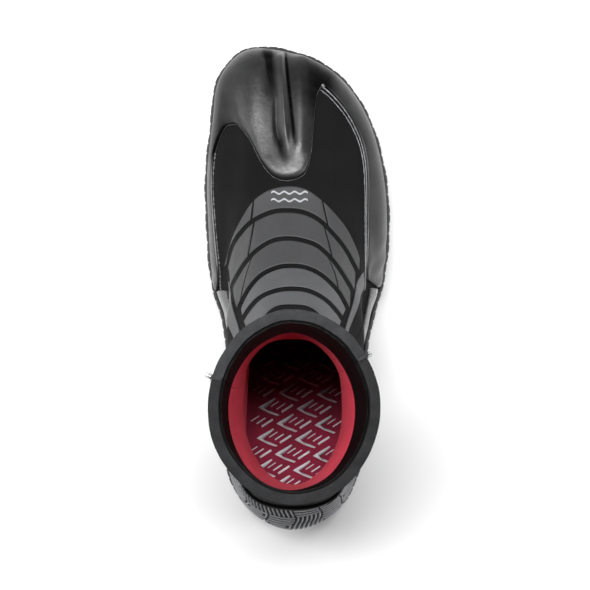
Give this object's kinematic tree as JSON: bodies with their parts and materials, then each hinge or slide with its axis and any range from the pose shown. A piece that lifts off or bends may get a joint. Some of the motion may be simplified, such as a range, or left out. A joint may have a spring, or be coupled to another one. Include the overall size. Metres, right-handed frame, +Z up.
{
  "type": "surf boot",
  "caption": "Right-foot neoprene surf boot with a hidden split toe, rubber toe cap, rands and heel, lined ankle-high cuff and ribbed outsole; toe and ankle flex.",
  "frame": {"origin": "on the floor under the middle of the sole's bounding box", "axes": "+Z up, +Y towards the toes, +X towards the outer side of the right foot"},
  "size_m": [0.1113, 0.29, 0.1832],
  "materials": {
    "sole_rubber": "matt moulded rubber with a ribbed edge",
    "cap_rubber": "satin smooth rubber",
    "grip_rubber": "satin raised rubber bars",
    "bead_rubber": "glossy liquid rubber seam bead",
    "neoprene": "foam rubber faced with fine matt jersey",
    "seal": "smooth-skin foam rubber",
    "lining": "short red plush",
    "footbed_foam": "dark red knitted cover on foam",
    "footbed_print": "grey silicone grip print",
    "grey_print": "grey flexible print",
    "light_print": "light grey print",
    "board": "stitched lasting board",
    "thread": "black thread ends set in glue"
  },
  "bodies": {
    "foot": {"outsole": "sole_rubber", "lasting_board": "board", "footbed": "footbed_foam", "footbed_print": "footbed_print", "vamp": "neoprene", "outer_quarter": "neoprene", "inner_quarter": "neoprene", "vamp_lining": "lining", "heel_lining": "lining", "outer_rand": "cap_rubber", "inner_rand": "cap_rubber", "outer_bead": "bead_rubber", "outer_foxing": "cap_rubber", "inner_foxing": "cap_rubber", "heel_cap": "cap_rubber", "heel_grip_bars": "grip_rubber", "instep_pads_inner": "grey_print", "instep_pads_middle": "grey_print", "instep_pads_outer": "grey_print", "wave_mark": "light_print"},
    "forefoot": {"toe_cap": "cap_rubber", "toe_divider": "lining"},
    "shaft": {"front_panel": "neoprene", "back_panel": "neoprene", "front_lining": "lining", "back_lining": "lining", "front_seal": "seal", "back_seal": "seal", "seam_tacks": "thread", "ankle_pads": "grey_print", "shin_pad": "grey_print", "inner_side_band": "grey_print", "outer_side_band": "grey_print"}
  },
  "joints": [
    {"name": "toe_flex", "type": "hinge", "parent": "foot", "child": "forefoot", "pos_m": [-0.0013, 0.0506, 0.009], "axis": [0.955, -0.2966, 0], "range_deg": [0, 40], "stiffness_Nm_per_rad": 0.5, "deforming": ["outsole", "lasting_board", "footbed", "vamp", "vamp_lining", "outer_rand", "inner_rand", "outer_bead", "instep_pads_inner", "instep_pads_middle", "instep_pads_outer", "wave_mark", "toe_cap"]},
    {"name": "ankle_flex", "type": "hinge", "parent": "foot", "child": "shaft", "pos_m": [-0.0018, -0.063, 0.112], "axis": [1, 0, 0], "range_deg": [-20, 25], "stiffness_Nm_per_rad": 0.8, "deforming": ["front_panel", "back_panel", "front_lining", "back_lining", "ankle_pads", "shin_pad", "inner_side_band", "outer_side_band"]}
  ]
}
